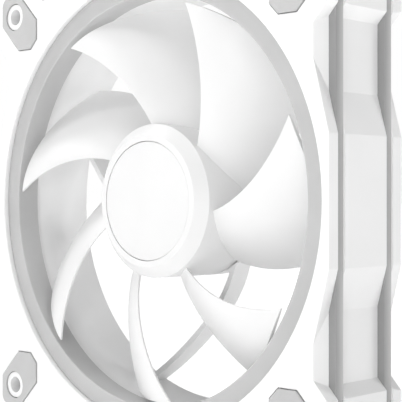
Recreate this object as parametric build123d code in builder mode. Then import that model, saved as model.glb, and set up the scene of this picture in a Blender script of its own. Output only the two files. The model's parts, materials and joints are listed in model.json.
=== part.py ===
from build123d import *
import os
from math import cos, radians, sin

# A 120 mm case fan, 28 mm deep, as a row of separate pieces.
# The rotor turns about the Y axis. The open side of the fan faces -Y, X is to the
# right and Z is up. The origin is the middle of the frame, on the rotor's axis.
# A depth is measured backwards from the front face of the frame. All sizes are mm.

# ---- Driving dimensions: frame
FRAME_SIDE = 120.0
FRAME_DEPTH = 28.0
HOLE_PITCH = 105.0
SCREW_HOLE_D = 4.5
PLATE_T = 3.3
LAYER_T = 2.7
WALL_T = 1.6
CORNER_R = 2.4

# ---- Slanted recesses in the four sides: where each ends along the side
WAIST = 15.1
FACE_RECESS = (55.6, 32.0, 40.1, 44.9)
BODY_RECESS = (57.4, 24.8, 41.5, 44.3)

# ---- Openings and duct
PLATE_OPENING_R = 57.8
RING_FRONT_R = 52.8
RING_STEP = 1.4
RING_ROUND = 0.3
SKIRT_END = 8.2
DUCT_R = 54.0
DUCT_WALL = 1.2
LAYER_HALF = 59.4

# ---- Rubber corner pads
PAD_OUTLINE = [
    (42.9, 45.5), (45.5, 42.9), (50.8, 42.9), (58.2, 50.3), (58.2, 58.2), (50.3, 58.2), (42.9, 50.8),
]
PAD_CORNER_R = 2.5
PAD_PROUD = 0.4
PAD_LET_IN = 1.0
PAD_GAP = 0.28
BOSS_GAP = 0.22
BOSS_D = 7.2
SPIGOT_END = 9.0
PILLAR_R = 5.4

# ---- Light rings
BOARD_IN_R = 55.4
BOARD_OUT_R = 58.0
BOARD_T = 0.8
LED_COUNT = 12
LED_SIDE = 2.0
LED_T = 0.9
LIGHT_GROOVE = 2.1

# ---- Gland for the leads, in the left side
GLAND_Y = 3.9
GLAND_R = 2.6
GLAND_BORE_R = 1.6

# ---- Struts and motor cup
STRUT_COUNT = 4
STRUT_T = 1.5
STRUT_FRONT = 22.0
STRUT_PATH = [(19.2, -50.5), (28.0, -77.0), (36.8, -94.0), (45.0, -104.0), (54.6, -112.5)]
CUP_R = 19.9
CUP_WALL = 1.4
CUP_FRONT = 23.2
CUP_FLOOR_FRONT = 26.4
LABEL_R = 17.5
LABEL_T = 0.3
TUBE_R = 4.6
TUBE_BORE_R = 3.0
TUBE_FRONT = 9.5

# ---- Hub
HUB_R = 19.9
HUB_FRONT = 1.5
HUB_REAR = 22.6
HUB_RIM_R = 17.1
HUB_SHOULDER = 4.1
CAP_R = 15.3
CAP_GAP = 0.15
CAP_T = 1.0
YOKE_R = 18.4
YOKE_T = 0.9
YOKE_REAR = 20.0
HUB_WALL_BACK = 4.1

# ---- Blades: (leading edge, trailing edge) laws over the span, root to tip
BLADE_COUNT = 7
ROOT_R = 19.0
TIP_R = 51.3
SPAN_UNIT = 33.0
LEAD_ANGLE = (95.9, 34.6, -6.4, 2.9)
LEAD_DEPTH = (5.9, -7.3, 3.1)
TRAIL_DEPTH = (20.7, 0.5)
CHORD_ANGLE = (42.4, -15.2, 8.5)
FLATNESS = (0.43, -0.24)
CAMBER_POWER = 2.08
BLADE_T = 1.3
EDGE_T = 0.55
BLADE_SPAN_STEPS = 10
BLADE_CHORD_STEPS = 16

# ---- Shaft, bearing and motor
SHAFT_R = 1.5
SHAFT_FRONT = 3.2
SHAFT_REAR = 25.6
BEARING_CLEARANCE = 0.04
MAGNET_IN_R = 15.6
MAGNET_FRONT = 7.0
MAGNET_REAR = 19.0
POLE_R = 15.0
POLE_COUNT = 4
ARM_W = 3.4
CORE_FRONT = 10.5
CORE_REAR = 16.5
INSULATOR_T = 0.6
COIL_W = 2.0
MOTOR_BOARD_FRONT = 20.9
MOTOR_BOARD_T = 1.0
MOTOR_BOARD_R = 17.4

HOLE_OFFSET = HOLE_PITCH / 2
QUARTERS = range(4)


def at_depth(depth):
    """The sketch plane this far behind the front face, seen from the front."""
    return Plane.XZ.offset(FRAME_DEPTH / 2 - depth)


def disc(depth, outer, inner=0.0):
    """A flat disc or ring about the rotor's axis."""
    with BuildSketch(at_depth(depth)) as shape:
        Circle(outer)
        if inner > 0:
            Circle(inner, mode=Mode.SUBTRACT)
    return shape.sketch


def corner_discs(depth, radius):
    """One disc round each of the four screw holes."""
    with BuildSketch(at_depth(depth)) as shape:
        with GridLocations(HOLE_PITCH, HOLE_PITCH, 2, 2):
            Circle(radius)
    return shape.sketch


def frame_outline(depth, recess, shrink=0.0):
    """The frame's square outline with one pair of slanted recesses in each side."""
    half = FRAME_SIDE / 2
    inner_x, start, stop, end = recess
    side = [(half, -end), (inner_x, -stop), (inner_x, -start), (half, -WAIST)]
    side += [(x, -y) for x, y in reversed(side)] + [(half, half)]
    with BuildSketch(at_depth(depth)) as shape:
        with BuildLine():
            Polyline(*[Vector(x, y).rotate(Axis.Z, 90 * k) for k in QUARTERS for x, y in side], close=True)
        make_face()
        corners = shape.vertices().filter_by(lambda v: min(abs(v.X), abs(v.Y)) > half - 0.1)
        fillet(corners, CORNER_R)
        if shrink > 0:
            offset(amount=-shrink, kind=Kind.INTERSECTION, mode=Mode.REPLACE)
    return shape.sketch


def pad_outline(depth, quarter, grow=0.0):
    """The outline of one rubber pad; quarter 0 is the top right corner."""
    with BuildSketch(at_depth(depth)) as shape:
        with Locations(Rotation(0, 0, 90 * quarter)):
            Polygon(*PAD_OUTLINE, align=None)
        tips = shape.vertices().filter_by(lambda v: min(abs(v.X), abs(v.Y)) > 58.0)
        fillet(tips, PAD_CORNER_R)
        if grow > 0:
            offset(amount=grow, kind=Kind.INTERSECTION, mode=Mode.REPLACE)
    return shape.sketch


def make_plate():
    """The front frame: slanted sides, round opening, pad recesses and tubular spigots."""
    with BuildPart() as plate:
        loft([frame_outline(0, FACE_RECESS), frame_outline(PLATE_T, BODY_RECESS)], ruled=True)
        extrude(disc(0, PLATE_OPENING_R), amount=-PLATE_T, mode=Mode.SUBTRACT)
        rim = plate.edges().filter_by(GeomType.CIRCLE).filter_by(lambda e: e.radius > PLATE_OPENING_R - 1)
        fillet(rim.sort_by(Axis.Y)[0], 0.4)
        for quarter in QUARTERS:
            extrude(pad_outline(0, quarter, grow=PAD_GAP), amount=-PAD_LET_IN, mode=Mode.SUBTRACT)
        extrude(corner_discs(0, BOSS_D / 2), amount=-SPIGOT_END)
        extrude(corner_discs(0, SCREW_HOLE_D / 2), amount=-SPIGOT_END, mode=Mode.SUBTRACT)
    return plate.part


def make_pad(quarter):
    """One rubber pad of the front face, with a hole for the screw boss."""
    with BuildPart() as pad:
        extrude(pad_outline(-PAD_PROUD, quarter), amount=-PAD_PROUD - PAD_LET_IN)
        boss_holes = corner_discs(-PAD_PROUD, BOSS_D / 2 + BOSS_GAP)
        extrude(boss_holes, amount=-PAD_PROUD - PAD_LET_IN, mode=Mode.SUBTRACT)
        front = pad.faces().sort_by(Axis.Y)[0]
        fillet(front.outer_wire().edges(), 0.25)
    return pad.part


def make_front_diffuser():
    """Square light layer with a raised ring in the opening and a skirt inside the duct."""
    layer_back = PLATE_T + LAYER_T
    with BuildPart() as layer:
        with BuildSketch(at_depth(PLATE_T)) as square:
            RectangleRounded(2 * LAYER_HALF, 2 * LAYER_HALF, CORNER_R)
        extrude(square.sketch, amount=-LAYER_T)
        extrude(disc(RING_STEP, PLATE_OPENING_R - 0.2), amount=RING_STEP - PLATE_T)
        extrude(disc(layer_back, DUCT_R - 0.1), amount=layer_back - SKIRT_END)
        extrude(disc(0, RING_FRONT_R), amount=-SKIRT_END, mode=Mode.SUBTRACT)
        mouth = layer.edges().filter_by(GeomType.CIRCLE).sort_by(Axis.Y)
        fillet(mouth.filter_by(lambda e: abs(e.radius - RING_FRONT_R) < 0.01)[0], RING_ROUND)
        groove = disc(layer_back - LIGHT_GROOVE, BOARD_OUT_R, BOARD_IN_R)
        extrude(groove, amount=-LIGHT_GROOVE, mode=Mode.SUBTRACT)
        extrude(corner_discs(0, BOSS_D / 2 + 0.2), amount=-layer_back, mode=Mode.SUBTRACT)
    return layer.part


def make_rear_diffuser():
    """Square light layer round the duct, with a raised ring in the rear opening."""
    layer_front = FRAME_DEPTH - PLATE_T - LAYER_T
    ring_back = FRAME_DEPTH - RING_STEP
    duct_outside = DUCT_R + DUCT_WALL + 0.1
    with BuildPart() as layer:
        with BuildSketch(at_depth(layer_front)) as square:
            RectangleRounded(2 * LAYER_HALF, 2 * LAYER_HALF, CORNER_R)
        extrude(square.sketch, amount=-LAYER_T)
        extrude(disc(layer_front, PLATE_OPENING_R - 0.2), amount=layer_front - ring_back)
        extrude(disc(layer_front, duct_outside), amount=layer_front - ring_back, mode=Mode.SUBTRACT)
        groove = disc(layer_front, BOARD_OUT_R, duct_outside - 0.05)
        extrude(groove, amount=-LIGHT_GROOVE, mode=Mode.SUBTRACT)
        extrude(corner_discs(layer_front, BOSS_D / 2 + 0.2), amount=-LAYER_T, mode=Mode.SUBTRACT)
    return layer.part


def make_led_board(front):
    """Narrow ring board with one solder tab towards the top right corner."""
    with BuildPart() as board:
        with BuildSketch(at_depth(front)) as shape:
            Circle(BOARD_OUT_R)
            with Locations(Rotation(0, 0, 45)):
                with Locations((BOARD_OUT_R, 0)):
                    RectangleRounded(9.0, 9.0, 1.0)
            Circle(BOARD_IN_R, mode=Mode.SUBTRACT)
        extrude(shape.sketch, amount=-BOARD_T)
    return board.part


def make_leds(front):
    """The lamps of one ring, all alike."""
    with BuildPart() as leds:
        with BuildSketch(at_depth(front)) as shape:
            with PolarLocations((BOARD_IN_R + BOARD_OUT_R) / 2, LED_COUNT, start_angle=15):
                Rectangle(LED_SIDE, LED_SIDE)
        extrude(shape.sketch, amount=-LED_T)
        lens = leds.faces().filter_by(Axis.Y)
        chamfer(lens.sort_by(Axis.Y)[:LED_COUNT].edges(), 0.2)
    return leds.part


def polar(radius, degrees):
    """A point of a front view, its angle counted anticlockwise from +X."""
    return Vector(radius * cos(radians(degrees)), radius * sin(radians(degrees)))


def strut_shape(depth):
    """The plan of the swept struts, each a thin curved vane from cup to duct."""
    with BuildSketch(at_depth(depth)) as shape:
        for k in range(STRUT_COUNT):
            turn = 360 / STRUT_COUNT * k
            with BuildLine():
                Spline(*[polar(radius, angle + turn) for radius, angle in STRUT_PATH])
            trace(line_width=STRUT_T)
    return shape.sketch


def make_frame_body():
    """The middle of the frame: outer wall, web, duct, struts, motor cup, bearing tube."""
    front = PLATE_T + LAYER_T
    rear = FRAME_DEPTH - front
    web_front = FRAME_DEPTH / 2 - 0.75
    with BuildPart() as body:
        # outer wall on a central web, with the screw pillars
        extrude(frame_outline(front, BODY_RECESS), amount=front - rear)
        hollow = frame_outline(front, BODY_RECESS, shrink=WALL_T)
        extrude(hollow, amount=front - web_front, mode=Mode.SUBTRACT)
        hollow = frame_outline(FRAME_DEPTH - web_front, BODY_RECESS, shrink=WALL_T)
        extrude(hollow, amount=FRAME_DEPTH - web_front - rear, mode=Mode.SUBTRACT)
        extrude(corner_discs(front, PILLAR_R), amount=front - rear)
        # ribs that carry the two ring boards
        rib_front = front + BOARD_T
        with BuildSketch(at_depth(rib_front)) as ribs:
            for spread in (-9.0, 9.0):
                with PolarLocations(DUCT_R + DUCT_WALL + 1.6, 4, start_angle=spread):
                    Rectangle(5.2, WALL_T)
        extrude(ribs.sketch, amount=2 * rib_front - FRAME_DEPTH)
        # duct
        extrude(disc(front, DUCT_R + DUCT_WALL), amount=front - FRAME_DEPTH)
        extrude(disc(0, DUCT_R), amount=-FRAME_DEPTH, mode=Mode.SUBTRACT)
        # struts and motor cup
        extrude(strut_shape(STRUT_FRONT), amount=STRUT_FRONT - FRAME_DEPTH)
        extrude(disc(STRUT_FRONT, CUP_R + 0.6), amount=STRUT_FRONT - CUP_FRONT, mode=Mode.SUBTRACT)
        extrude(disc(CUP_FRONT, CUP_R), amount=CUP_FRONT - FRAME_DEPTH)
        cavity_r = CUP_R - CUP_WALL
        extrude(disc(STRUT_FRONT, cavity_r), amount=STRUT_FRONT - CUP_FLOOR_FRONT, mode=Mode.SUBTRACT)
        extrude(disc(FRAME_DEPTH - LABEL_T, LABEL_R), amount=-LABEL_T, mode=Mode.SUBTRACT)
        # bearing tube and board posts
        extrude(disc(TUBE_FRONT, TUBE_R), amount=TUBE_FRONT - CUP_FLOOR_FRONT)
        extrude(disc(0, TUBE_BORE_R), amount=-FRAME_DEPTH, mode=Mode.SUBTRACT)
        board_back = MOTOR_BOARD_FRONT + MOTOR_BOARD_T
        with BuildSketch(at_depth(board_back)) as posts:
            with PolarLocations(15.5, 3, start_angle=30):
                Circle(1.2)
        extrude(posts.sketch, amount=board_back - CUP_FLOOR_FRONT)
        # screw bores, wider where the plates' spigots enter
        extrude(corner_discs(0, SCREW_HOLE_D / 2), amount=-FRAME_DEPTH, mode=Mode.SUBTRACT)
        spigot_room = SPIGOT_END + 0.1 - front
        extrude(corner_discs(front, BOSS_D / 2 + 0.05), amount=-spigot_room, mode=Mode.SUBTRACT)
        extrude(corner_discs(rear, BOSS_D / 2 + 0.05), amount=spigot_room, mode=Mode.SUBTRACT)
        # gland hole for the leads, in the left side
        with BuildSketch(Plane.YZ.offset(-FRAME_SIDE / 2)) as gland:
            with Locations((GLAND_Y, 0)):
                Circle(GLAND_R)
        extrude(gland.sketch, amount=WALL_T, mode=Mode.SUBTRACT)
    return body.part


def make_grommet():
    """Rubber gland, flush in the left side, where the leads leave the frame."""
    outside = Plane.YZ.offset(-FRAME_SIDE / 2)
    inside = Plane.YZ.offset(-FRAME_SIDE / 2 + WALL_T)
    with BuildPart() as grommet:
        for plane, radius, length in ((outside, GLAND_R, WALL_T), (inside, GLAND_R + 0.4, 0.6)):
            with BuildSketch(plane) as collar:
                with Locations((GLAND_Y, 0)):
                    Circle(radius)
                    Circle(GLAND_BORE_R, mode=Mode.SUBTRACT)
            extrude(collar.sketch, amount=length)
    return grommet.part


def law(coefficients, t):
    """A polynomial in t, constant term first."""
    return sum(c * t**k for k, c in enumerate(coefficients))


def blade_point(span, chord, side):
    """A point on the front (side -1) or rear (side +1) skin; span and chord run 0 to 1."""
    radius = ROOT_R + span * (TIP_R - ROOT_R)
    t = (radius - HUB_R) / SPAN_UNIT
    lead_depth = law(LEAD_DEPTH, t)
    flatness = law(FLATNESS, span)
    chord_angle = law(CHORD_ANGLE, span)
    rise = flatness * chord + (1 - flatness) * chord**CAMBER_POWER
    thickness = EDGE_T + (BLADE_T - EDGE_T) * (4 * chord * (1 - chord)) ** 0.7
    angle = radians(law(LEAD_ANGLE, t) - chord * chord_angle)
    depth = lead_depth + rise * (law(TRAIL_DEPTH, span) - lead_depth) + side * thickness / 2
    return Vector(radius * cos(angle), depth - FRAME_DEPTH / 2, radius * sin(angle))


def make_blade():
    """One swept, cambered blade as a closed solid between two smooth skins."""
    spans = [k / BLADE_SPAN_STEPS for k in range(BLADE_SPAN_STEPS + 1)]
    chords = [k / BLADE_CHORD_STEPS for k in range(BLADE_CHORD_STEPS + 1)]
    skins = []
    for side in (-1, 1):
        grid = [[blade_point(s, c, side) for c in chords] for s in spans]
        skins.append(Face.make_surface_from_array_of_points(grid, tol=0.01, min_deg=3, max_deg=5))
    rims = []
    for edge in skins[0].edges():
        partner = min(skins[1].edges(), key=lambda e: (e @ 0.5 - edge @ 0.5).length)
        rims.append(Face.make_surface_from_curves(edge, partner))
    return Solid(Shell([*skins, *rims]))


def make_impeller():
    """Hub cup with its seven blades, one moulding."""
    y0 = -FRAME_DEPTH / 2
    floor = HUB_FRONT + CAP_T + 0.1
    profile = [
        (0, floor),
        (CAP_R + CAP_GAP, floor),
        (CAP_R + CAP_GAP, HUB_FRONT),
        (HUB_RIM_R, HUB_FRONT),
        (HUB_R, HUB_SHOULDER),
        (HUB_R, HUB_REAR),
        (YOKE_R, HUB_REAR),
        (YOKE_R, HUB_WALL_BACK),
        (3.4, HUB_WALL_BACK),
        (3.4, 7.6),
        (SHAFT_R, 7.6),
        (SHAFT_R, SHAFT_FRONT),
        (0, SHAFT_FRONT),
    ]
    with BuildPart() as impeller:
        with BuildSketch(Plane.XY) as section:
            with BuildLine():
                Polyline(*[(r, y0 + d) for r, d in profile], close=True)
            make_face()
        revolve(section.sketch, axis=Axis.Y)
        with Locations(*[Rotation(0, 360 / BLADE_COUNT * k, 0) for k in range(BLADE_COUNT)]):
            add(make_blade())
    return impeller.part


def make_ring(front, rear, outer, inner=0.0, edge=0.0):
    """A plain turned ring or disc, with its front outer edge broken if asked."""
    with BuildPart() as ring:
        extrude(disc(front, outer, inner), amount=front - rear)
        if edge > 0:
            circles = ring.edges().filter_by(GeomType.CIRCLE).sort_by(Axis.Y)
            chamfer(circles.filter_by(lambda e: abs(e.radius - outer) < 0.001)[0], edge)
    return ring.part


def make_yoke():
    """Deep-drawn steel cup that closes the magnet's field."""
    with BuildPart() as yoke:
        extrude(disc(HUB_WALL_BACK, YOKE_R), amount=HUB_WALL_BACK - YOKE_REAR)
        inside = disc(HUB_WALL_BACK + YOKE_T, YOKE_R - YOKE_T)
        extrude(inside, amount=HUB_WALL_BACK + YOKE_T - YOKE_REAR, mode=Mode.SUBTRACT)
        extrude(disc(HUB_WALL_BACK, 3.6), amount=-YOKE_T, mode=Mode.SUBTRACT)
    return yoke.part


def make_shaft():
    """Steel shaft with a groove for the clip and a rounded rear end."""
    with BuildPart() as shaft:
        extrude(disc(SHAFT_FRONT, SHAFT_R), amount=SHAFT_FRONT - SHAFT_REAR)
        extrude(disc(24.0, SHAFT_R, 1.2), amount=-0.5, mode=Mode.SUBTRACT)
        fillet(shaft.edges().filter_by(GeomType.CIRCLE).sort_by(Axis.Y)[-1], 0.4)
    return shaft.part


def stator_plan(depth, shrink=0.0):
    """Four-pole lamination: ring, four arms and four curved shoes."""
    with BuildSketch(at_depth(depth)) as shape:
        Circle(POLE_R - shrink)
        Circle(POLE_R - 2.2 + shrink, mode=Mode.SUBTRACT)
        with PolarLocations(POLE_R - 1.5, POLE_COUNT, start_angle=45):
            Rectangle(5.0, 3.0 + 2 * shrink, mode=Mode.SUBTRACT)
        Circle(6.8 - shrink)
        with PolarLocations(0, POLE_COUNT):
            with Locations(((POLE_R - 1.0) / 2, 0)):
                Rectangle(POLE_R - 1.0, ARM_W - 2 * shrink)
        Circle(TUBE_R, mode=Mode.SUBTRACT)
    return shape.sketch


def make_stator_layer(front, rear, shrink=0.0):
    """The steel core, or one of the plastic end plates with the same plan."""
    with BuildPart() as layer:
        extrude(stator_plan(front, shrink), amount=front - rear)
    return layer.part


def make_coil(quarter):
    """One winding, a rounded frame of copper round a stator arm."""
    height = CORE_REAR - CORE_FRONT + 2 * INSULATOR_T
    middle = (CORE_REAR + CORE_FRONT) / 2
    arm = Plane(origin=(0, middle - FRAME_DEPTH / 2, 0), x_dir=(0, 1, 0), z_dir=(1, 0, 0))
    with BuildPart() as coil:
        with BuildSketch(arm.offset(7.1)) as ring:
            RectangleRounded(height + 2 * COIL_W, ARM_W + 2 * COIL_W, 1.4)
            Rectangle(height + 0.1, ARM_W + 0.1, mode=Mode.SUBTRACT)
        extrude(ring.sketch, amount=4.9)
    return coil.part.rotate(Axis.Y, 90 * quarter)


def make_motor_board():
    """Round board behind the rotor, with a hole for the bearing tube."""
    return make_ring(MOTOR_BOARD_FRONT, MOTOR_BOARD_FRONT + MOTOR_BOARD_T, MOTOR_BOARD_R, TUBE_R + 0.4)


def make_chip(front, size, at_radius, at_angle):
    """A small rectangular component on the motor board."""
    width, height, thick = size
    with BuildPart() as chip:
        with BuildSketch(at_depth(front)) as shape:
            with PolarLocations(at_radius, 1, start_angle=at_angle):
                Rectangle(width, height)
        extrude(shape.sketch, amount=-thick)
    return chip.part


def mirrored(part):
    """The same piece for the rear half of the frame."""
    with BuildPart() as copy:
        mirror(part, about=Plane.XZ)
    return copy.part


def build_all():
    """Every piece by name."""
    pieces = {}
    pieces["front_plate"] = make_plate()
    pieces["rear_plate"] = mirrored(pieces["front_plate"])
    for quarter in QUARTERS:
        pad = make_pad(quarter)
        pieces[f"front_pad_{quarter + 1}"] = pad
        pieces[f"rear_pad_{quarter + 1}"] = mirrored(pad)
    pieces["front_diffuser"] = make_front_diffuser()
    pieces["rear_diffuser"] = make_rear_diffuser()
    layer_back = PLATE_T + LAYER_T
    pieces["front_led_board"] = make_led_board(layer_back)
    pieces["rear_led_board"] = mirrored(pieces["front_led_board"])
    pieces["front_leds"] = make_leds(layer_back - LED_T)
    pieces["rear_leds"] = mirrored(pieces["front_leds"])
    pieces["frame_body"] = make_frame_body()
    pieces["cable_grommet"] = make_grommet()
    pieces["impeller"] = make_impeller()
    pieces["hub_cap"] = make_ring(HUB_FRONT + 0.1, HUB_FRONT + CAP_T + 0.1, CAP_R, edge=0.15)
    pieces["rotor_yoke"] = make_yoke()
    pieces["rotor_magnet"] = make_ring(MAGNET_FRONT, MAGNET_REAR, YOKE_R - YOKE_T, MAGNET_IN_R)
    pieces["rotor_shaft"] = make_shaft()
    pieces["retaining_clip"] = make_ring(24.05, 24.45, 2.5, 1.25)
    pieces["oil_seal"] = make_ring(9.6, 10.2, TUBE_BORE_R, SHAFT_R + 0.1)
    pieces["bearing_sleeve"] = make_ring(10.4, 23.0, TUBE_BORE_R, SHAFT_R + BEARING_CLEARANCE)
    pieces["thrust_pad"] = make_ring(SHAFT_REAR + 0.05, 26.5, TUBE_BORE_R - 0.05)
    pieces["bearing_cap"] = make_ring(26.5, 27.6, TUBE_BORE_R)
    pieces["stator_core"] = make_stator_layer(CORE_FRONT, CORE_REAR)
    pieces["front_insulator"] = make_stator_layer(CORE_FRONT - INSULATOR_T, CORE_FRONT, 0.1)
    pieces["rear_insulator"] = make_stator_layer(CORE_REAR, CORE_REAR + INSULATOR_T, 0.1)
    for quarter in QUARTERS:
        pieces[f"coil_{quarter + 1}"] = make_coil(quarter)
    pieces["motor_board"] = make_motor_board()
    pieces["driver_chip"] = make_chip(MOTOR_BOARD_FRONT + MOTOR_BOARD_T, (4.0, 5.0, 1.2), 10.0, 90)
    pieces["hall_sensor"] = make_chip(MOTOR_BOARD_FRONT - 1.2, (1.5, 3.0, 1.2), 14.0, 90)
    pieces["rear_label"] = make_ring(FRAME_DEPTH - LABEL_T, FRAME_DEPTH - 0.05, LABEL_R - 0.1)
    return pieces


os.makedirs("parts", exist_ok=True)
for name, part in build_all().items():
    part.label = name
    export_step(part, f"parts/{name}.step")
    print(f"{name}: {part.volume:.1f} mm3")
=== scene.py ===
import json
from math import cos, radians, sin

import bpy
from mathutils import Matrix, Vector


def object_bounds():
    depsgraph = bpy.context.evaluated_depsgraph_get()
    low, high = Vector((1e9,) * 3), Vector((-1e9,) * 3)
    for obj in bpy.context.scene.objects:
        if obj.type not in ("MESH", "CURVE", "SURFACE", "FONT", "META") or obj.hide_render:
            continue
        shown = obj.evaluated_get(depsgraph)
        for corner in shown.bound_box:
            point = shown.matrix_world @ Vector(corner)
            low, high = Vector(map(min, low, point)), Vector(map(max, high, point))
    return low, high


# The looks of a white 120 mm case fan, on a pale floor in soft studio light.
# Metres, in the CAD frame: the intake faces -Y, X is right, Z is up.

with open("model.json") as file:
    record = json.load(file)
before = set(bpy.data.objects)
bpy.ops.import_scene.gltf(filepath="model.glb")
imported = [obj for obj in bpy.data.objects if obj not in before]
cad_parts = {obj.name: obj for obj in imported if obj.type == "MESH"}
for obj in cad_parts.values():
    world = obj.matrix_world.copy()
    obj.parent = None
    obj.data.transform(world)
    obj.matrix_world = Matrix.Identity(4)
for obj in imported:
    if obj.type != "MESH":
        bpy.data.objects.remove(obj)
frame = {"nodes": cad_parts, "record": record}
cad_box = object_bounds()
nodes = frame["nodes"]

# The frame, as in the CAD model
FLOOR_Z = cad_box[0][2]
HALF_DEPTH = 0.014
PLATE_T = 0.0033
LAYER_T = 0.0027
OPENING_R = 0.0575
# Width over which the painted shade on the light guide's outer edge fades in
PAINTED_SHADE_BLEND = 0.001

# The studio
FLOOR_SIZE = 40
FLOOR_GAP = 0.00005
GLOW_NEAR = 0.48
GLOW_FAR = 1.0
GLOW_SPAN = (0.25, 0.9)
WORLD_FILL = 0.22
AT_FAN = (0, 0, 0)
ABOVE_HUB = (0, 0, 0.05)

# Round softboxes, in metres and watts: small ones stand far off, large ones nearer the fan
SMALL = {"away": 0.8, "size": 0.15, "aim": AT_FAN}
LARGE = {"away": 0.6, "size": 0.3, "aim": AT_FAN}
GLOW = {"away": 0.32, "size": 0.25, "aim": ABOVE_HUB}


# ---- Node helpers

def new_material(name):
    """An empty node material; returns it with its tree and its Principled node."""
    material = bpy.data.materials.new(name)
    material.use_nodes = True
    tree = material.node_tree
    shader = tree.nodes["Principled BSDF"]
    return material, tree, shader


def texture_space(tree):
    """Object coordinates, so that patterns have one real size on every piece."""
    return tree.nodes.new("ShaderNodeTexCoord").outputs["Object"]


def noise(tree, scale, detail=3.0, roughness=0.5):
    """Noise with this many cells to the metre."""
    node = tree.nodes.new("ShaderNodeTexNoise")
    node.inputs["Scale"].default_value = scale
    node.inputs["Detail"].default_value = detail
    node.inputs["Roughness"].default_value = roughness
    tree.links.new(texture_space(tree), node.inputs["Vector"])
    return node.outputs["Fac"]


def remap(tree, value, low_value, high_value, start=0.3, stop=0.7):
    """The value stretched from start..stop to low_value..high_value."""
    node = tree.nodes.new("ShaderNodeMapRange")
    node.inputs["From Min"].default_value = start
    node.inputs["From Max"].default_value = stop
    node.inputs["To Min"].default_value = low_value
    node.inputs["To Max"].default_value = high_value
    tree.links.new(value, node.inputs["Value"])
    return node.outputs["Result"]


def blend_colours(tree, factor, dark, light):
    """A colour between two others, each a tint or another node's output."""
    node = tree.nodes.new("ShaderNodeMix")
    node.data_type = "RGBA"
    for socket, colour in (("A", dark), ("B", light)):
        if isinstance(colour, tuple):
            node.inputs[socket].default_value = (*colour, 1)
        else:
            tree.links.new(colour, node.inputs[socket])
    tree.links.new(factor, node.inputs["Factor"])
    return node.outputs["Result"]


def bump(tree, shader, height, strength, distance):
    """Fine relief on the shader's normal."""
    node = tree.nodes.new("ShaderNodeBump")
    node.inputs["Strength"].default_value = strength
    node.inputs["Distance"].default_value = distance
    tree.links.new(height, node.inputs["Height"])
    tree.links.new(node.outputs["Normal"], shader.inputs["Normal"])


def grey(value):
    """A neutral colour."""
    return (value, value, value)


# ---- Materials

def moulded_plastic(name, dark, light, rough=(0.42, 0.52), grain=0.06):
    """Satin moulded plastic: faint clouding, uneven gloss and a fine spark-eroded grain."""
    material, tree, shader = new_material(name)
    cloud = remap(tree, noise(tree, 45, 4), 0, 1)
    tree.links.new(blend_colours(tree, cloud, dark, light), shader.inputs["Base Color"])
    tree.links.new(remap(tree, noise(tree, 160, 3), *rough), shader.inputs["Roughness"])
    bump(tree, shader, noise(tree, 2600, 2, 0.6), grain, 0.0001)
    return material


def distance(tree, axes):
    """The distance from the origin, counting only the axes marked with a 1."""
    flat = tree.nodes.new("ShaderNodeVectorMath")
    flat.operation = "MULTIPLY"
    flat.inputs[1].default_value = axes
    length = tree.nodes.new("ShaderNodeVectorMath")
    length.operation = "LENGTH"
    tree.links.new(texture_space(tree), flat.inputs[0])
    tree.links.new(flat.outputs["Vector"], length.inputs[0])
    return length.outputs["Value"]


def frosted(name, front):
    """Frosted grey light guide, unlit. Its outer edge begins at the Y called front.

    That edge carries painted shade: it is painted a deeper grey at its front, where it is tucked
    under the next layer and shaded."""
    material, tree, shader = new_material(name)
    cloud = remap(tree, noise(tree, 70, 4), 0, 1)
    body = blend_colours(tree, cloud, grey(0.48), grey(0.52))
    spot = tree.nodes.new("ShaderNodeSeparateXYZ")
    tree.links.new(texture_space(tree), spot.inputs["Vector"])
    # Painted shade: the outer edge is painted deeper grey at its front and lightens over one
    # layer's thickness
    across = remap(tree, spot.outputs["Y"], 0, 1, front, front + LAYER_T)
    rim_painted_shade = blend_colours(tree, across, grey(0.31), grey(0.52))
    from_axis = distance(tree, (1, 0, 1))
    # Mask for the painted shade: only the outer edge, beyond the opening, takes it
    painted_shade_mask = remap(tree, from_axis, 0, 1, OPENING_R, OPENING_R + PAINTED_SHADE_BLEND)
    tree.links.new(blend_colours(tree, painted_shade_mask, body, rim_painted_shade), shader.inputs["Base Color"])
    tree.links.new(remap(tree, noise(tree, 220, 3), 0.38, 0.5), shader.inputs["Roughness"])
    bump(tree, shader, noise(tree, 1800, 2, 0.6), 0.05, 0.0001)
    shader.inputs["Subsurface Weight"].default_value = 0.25
    shader.inputs["Subsurface Radius"].default_value = (1, 1, 1)
    shader.inputs["Subsurface Scale"].default_value = 0.003
    return material


def soft_rubber(name, dark, light):
    """Matte rubber with a pebbled surface."""
    material, tree, shader = new_material(name)
    cloud = remap(tree, noise(tree, 120, 4), 0, 1)
    tree.links.new(blend_colours(tree, cloud, dark, light), shader.inputs["Base Color"])
    tree.links.new(remap(tree, noise(tree, 300, 2), 0.7, 0.85), shader.inputs["Roughness"])
    bump(tree, shader, noise(tree, 1500, 3, 0.65), 0.18, 0.0002)
    return material


def metal(name, dark, light, rough=(0.3, 0.45), scale=300):
    """Bare metal with fine uneven brightness."""
    material, tree, shader = new_material(name)
    cloud = remap(tree, noise(tree, scale, 4), 0, 1)
    tree.links.new(blend_colours(tree, cloud, dark, light), shader.inputs["Base Color"])
    tree.links.new(remap(tree, noise(tree, scale * 2, 2), *rough), shader.inputs["Roughness"])
    shader.inputs["Metallic"].default_value = 1.0
    bump(tree, shader, noise(tree, scale * 6, 2), 0.05, 0.0001)
    return material


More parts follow.
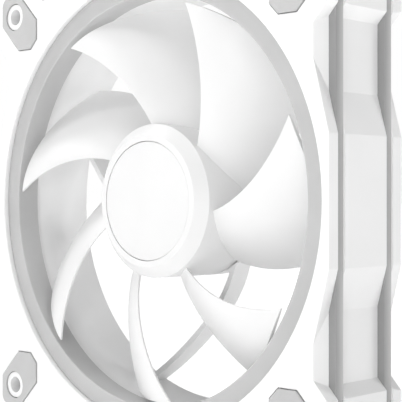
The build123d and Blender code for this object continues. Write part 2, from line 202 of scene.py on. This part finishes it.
MATERIALS = {
    "white_plastic": moulded_plastic("white_plastic", grey(0.86), grey(0.90)),
    "white_rotor": moulded_plastic("white_rotor", grey(0.80), grey(0.83), (0.36, 0.46), 0.03),
    "cap_plastic": moulded_plastic("cap_plastic", grey(0.78), grey(0.81), (0.5, 0.6)),
    # The front light guide, with painted shade on its outer edge next to the front plate
    "diffuser": frosted("diffuser_front", -HALF_DEPTH + PLATE_T),
    "pad_rubber": soft_rubber("pad_rubber", grey(0.49), grey(0.53)),
    "circuit_board": moulded_plastic("circuit_board", (0.70, 0.72, 0.70), (0.76, 0.78, 0.76)),
    "led": moulded_plastic("led", (0.85, 0.84, 0.75), (0.9, 0.89, 0.8), (0.1, 0.2)),
    "nylon": moulded_plastic("nylon", (0.72, 0.70, 0.64), (0.78, 0.76, 0.70)),
    "bronze": metal("bronze", (0.42, 0.29, 0.15), (0.55, 0.38, 0.2)),
    "core_steel": metal("core_steel", grey(0.35), grey(0.45)),
    "yoke_steel": metal("yoke_steel", grey(0.5), grey(0.6)),
    "magnet": soft_rubber("magnet", grey(0.03), grey(0.05)),
    "shaft_steel": metal("shaft_steel", grey(0.65), grey(0.72), (0.12, 0.2)),
    "copper": metal("copper", (0.62, 0.25, 0.12), (0.75, 0.34, 0.17)),
    "chip": moulded_plastic("chip", grey(0.02), grey(0.03)),
    "label": metal("label", grey(0.68), grey(0.74), (0.35, 0.45), 900),
}
# The rear light guide's own copy, with its painted shade placed at its front edge, next to the
# body
REAR_DIFFUSER = frosted("diffuser_rear", HALF_DEPTH - PLATE_T - LAYER_T)


def dress_cad():
    """Gives every CAD node the material of its slot, and the rear diffuser one of its own, whose
    painted shade sits at the rear layer's front edge.
    """
    for entry in frame["record"]["subparts"]:
        piece = nodes[entry["node"]]
        piece.data.materials.clear()
        piece.data.materials.append(MATERIALS[entry["material_slot"]])
    nodes["rear_diffuser"].data.materials[0] = REAR_DIFFUSER


# ---- Studio

def pale_floor():
    """A broad white table that glows, faintly near the fan and brightly far off."""
    bpy.ops.mesh.primitive_plane_add(size=FLOOR_SIZE, location=(0, 0, FLOOR_Z - FLOOR_GAP))
    floor = bpy.context.object
    floor.name = "studio_floor"
    material, tree, shader = new_material("studio_floor")
    cloud = remap(tree, noise(tree, 3, 2), 0, 1)
    tree.links.new(blend_colours(tree, cloud, grey(0.78), grey(0.8)), shader.inputs["Base Color"])
    shader.inputs["Roughness"].default_value = 0.8
    shader.inputs["Emission Color"].default_value = (1, 1, 1, 1)
    from_fan = distance(tree, (1, 1, 0))
    glow = remap(tree, from_fan, GLOW_NEAR, GLOW_FAR, *GLOW_SPAN)
    tree.links.new(glow, shader.inputs["Emission Strength"])
    floor.data.materials.append(material)


def studio_world():
    """White backdrop all round, which lights the fan only faintly."""
    world = bpy.data.worlds.new("studio")
    bpy.context.scene.world = world
    world.use_nodes = True
    tree = world.node_tree
    back = tree.nodes["Background"]
    back.inputs["Color"].default_value = (1, 1, 1, 1)
    path = tree.nodes.new("ShaderNodeLightPath")
    seen = path.outputs["Is Camera Ray"]
    tree.links.new(remap(tree, seen, WORLD_FILL, 1.0, 0.0, 1.0), back.inputs["Strength"])


def soft_light(name, turn, height, power, away, size, aim):
    """A round softbox, turned from the intake side to the right and raised, in degrees."""
    data = bpy.data.lights.new(name, "AREA")
    data.shape = "DISK"
    data.size = size
    data.energy = power
    lamp = bpy.data.objects.new(name, data)
    bpy.context.scene.collection.objects.link(lamp)
    across = away * cos(radians(height))
    x = across * sin(radians(turn))
    y = -across * cos(radians(turn))
    lamp.location = (x, y, away * sin(radians(height)))
    direction = Vector(aim) - lamp.location
    lamp.rotation_euler = direction.to_track_quat("-Z", "Y").to_euler()
    lamp.visible_camera = False


def photo_camera():
    """The view of the open side from the right, level with the rotor."""
    data = bpy.data.cameras.new("camera")
    data.sensor_width = 36
    data.lens = 105.9
    camera = bpy.data.objects.new("camera", data)
    bpy.context.scene.collection.objects.link(camera)
    camera.location = (0.2198, -0.2217, 0.0)
    camera.rotation_euler = (radians(90), 0, radians(43.75))
    bpy.context.scene.camera = camera


dress_cad()
pale_floor()
studio_world()
soft_light("front_low", 30, 5, 0.85, **SMALL)
soft_light("front_left", -45, 30, 0.9, **SMALL)
soft_light("left", -75, 30, 0.75, **SMALL)
soft_light("right_high", 80, 45, 0.2, **SMALL)
soft_light("back_right", 135, 50, 0.6, **SMALL)
soft_light("front_high", 10, 60, 0.7, **LARGE)
soft_light("left_high", -80, 60, 1.5, **LARGE)
for turn in (10, 50, 130):
    soft_light(f"table_glow_{turn}", turn, -9, 0.15, **GLOW)
photo_camera()
bpy.context.scene.view_settings.view_transform = "Standard"
